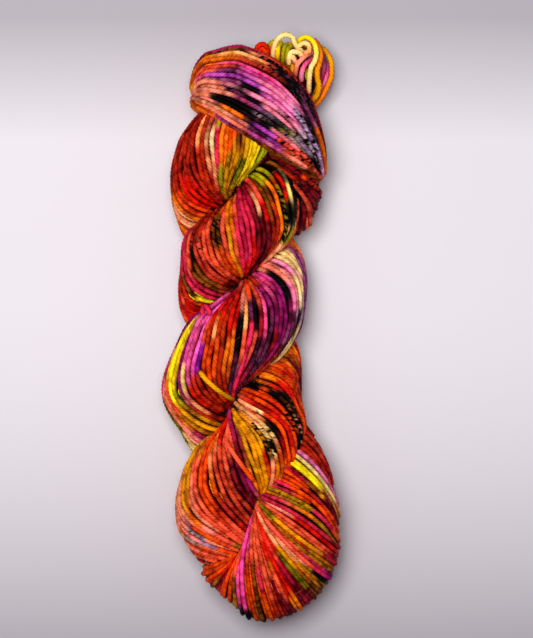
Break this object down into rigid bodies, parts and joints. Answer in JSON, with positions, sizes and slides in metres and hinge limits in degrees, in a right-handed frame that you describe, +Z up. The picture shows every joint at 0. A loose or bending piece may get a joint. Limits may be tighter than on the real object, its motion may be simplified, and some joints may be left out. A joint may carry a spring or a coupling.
{
  "type": "hank of yarn",
  "caption": "Twisted hank of hand-dyed yarn: a skein folded and wound round itself as a rope, with a round fold at one end and a looped collar at the other.",
  "frame": {"origin": "bottom centre of the hank's box, on the surface that it lies on", "axes": "+Y along the hank, from the round fold towards the collar and its tuft of loops; +X to the right seen from above; +Z up"},
  "size_m": [0.0858, 0.2822, 0.0554],
  "materials": {
    "yarn": "matt plied wool, hand-dyed in rust, orange, pink, gold, olive and black"
  },
  "bodies": {
    "root": {"hank": "yarn"}
  },
  "joints": []
}
